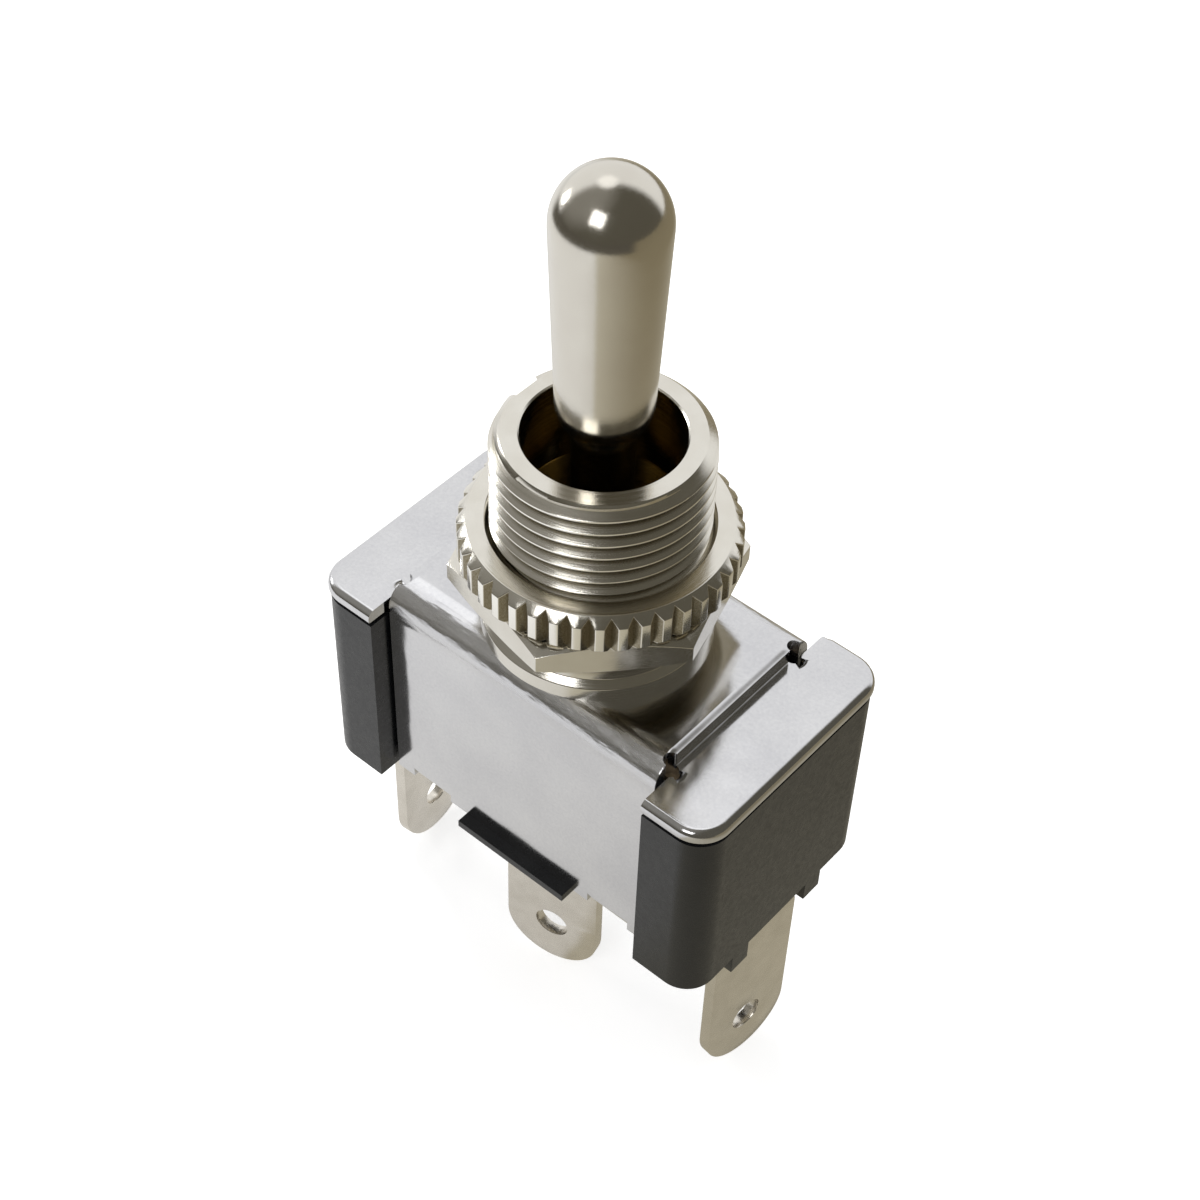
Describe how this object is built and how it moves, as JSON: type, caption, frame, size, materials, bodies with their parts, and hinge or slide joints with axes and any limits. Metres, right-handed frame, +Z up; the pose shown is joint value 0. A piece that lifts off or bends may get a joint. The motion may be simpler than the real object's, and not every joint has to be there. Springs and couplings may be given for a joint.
{
  "type": "panel toggle switch",
  "caption": "Panel toggle switch: bat handle in a threaded bushing with two nuts, stamped frame over a moulded base, three blade terminals.",
  "frame": {"origin": "on the bushing's axis at the seating plane, the top face of the serrated nut", "axes": "+Z up the bushing towards the handle's tip, +X along the body's long side, away from the keyway"},
  "size_m": [0.0286, 0.0162, 0.0594],
  "materials": {
    "phenolic": "moulded phenolic, fine semi-matt",
    "fibre": "vulcanised fibre, matt",
    "plated_sheet": "bright plated, rolled sheet",
    "nickel_brass": "bright nickel plate over turned brass",
    "steel": "ground",
    "nylon": "moulded nylon",
    "saddle_plastic": "moulded phenolic",
    "copper": "rolled copper strip",
    "silver": "silver alloy",
    "brass": "rolled brass",
    "tinned_brass": "matt tin plate over brass"
  },
  "bodies": {
    "housing": {"base": "phenolic", "fibre_sheet": "fibre", "frame": "plated_sheet", "bushing": "nickel_brass", "hex_nut": "nickel_brass", "serrated_nut": "nickel_brass", "cross_pin": "steel", "cradle": "brass", "cradle_rivet": "brass", "common_terminal": "tinned_brass", "left_terminal": "tinned_brass", "right_terminal": "tinned_brass", "fixed_contact_left": "silver", "fixed_contact_right": "silver"},
    "handle": {"lever": "nickel_brass", "plunger_spring": "steel"},
    "plunger": {"plunger": "nylon"},
    "rocker": {"contact_bar": "copper", "saddle": "saddle_plastic", "moving_contact_left": "silver", "moving_contact_right": "silver"}
  },
  "joints": [
    {"name": "handle_throw", "type": "hinge", "parent": "housing", "child": "handle", "pos_m": [0, 0, -0.0032], "axis": [0, 1, 0], "range_deg": [-12.5, 12.5]},
    {"name": "plunger_slide", "type": "slide", "parent": "handle", "child": "plunger", "axis": [0, 0, 1], "range_m": [0, 0.0008], "stiffness_N_per_m": 500, "springref_m": -0.002, "deforming": ["plunger_spring"]},
    {"name": "bar_tilt", "type": "hinge", "parent": "housing", "child": "rocker", "pos_m": [0, 0, -0.0175], "axis": [0, 1, 0], "range_deg": [-7, 7]}
  ],
  "couplings": [
    {"joint": "bar_tilt", "follows": "handle_throw", "ratio": -0.56}
  ]
}
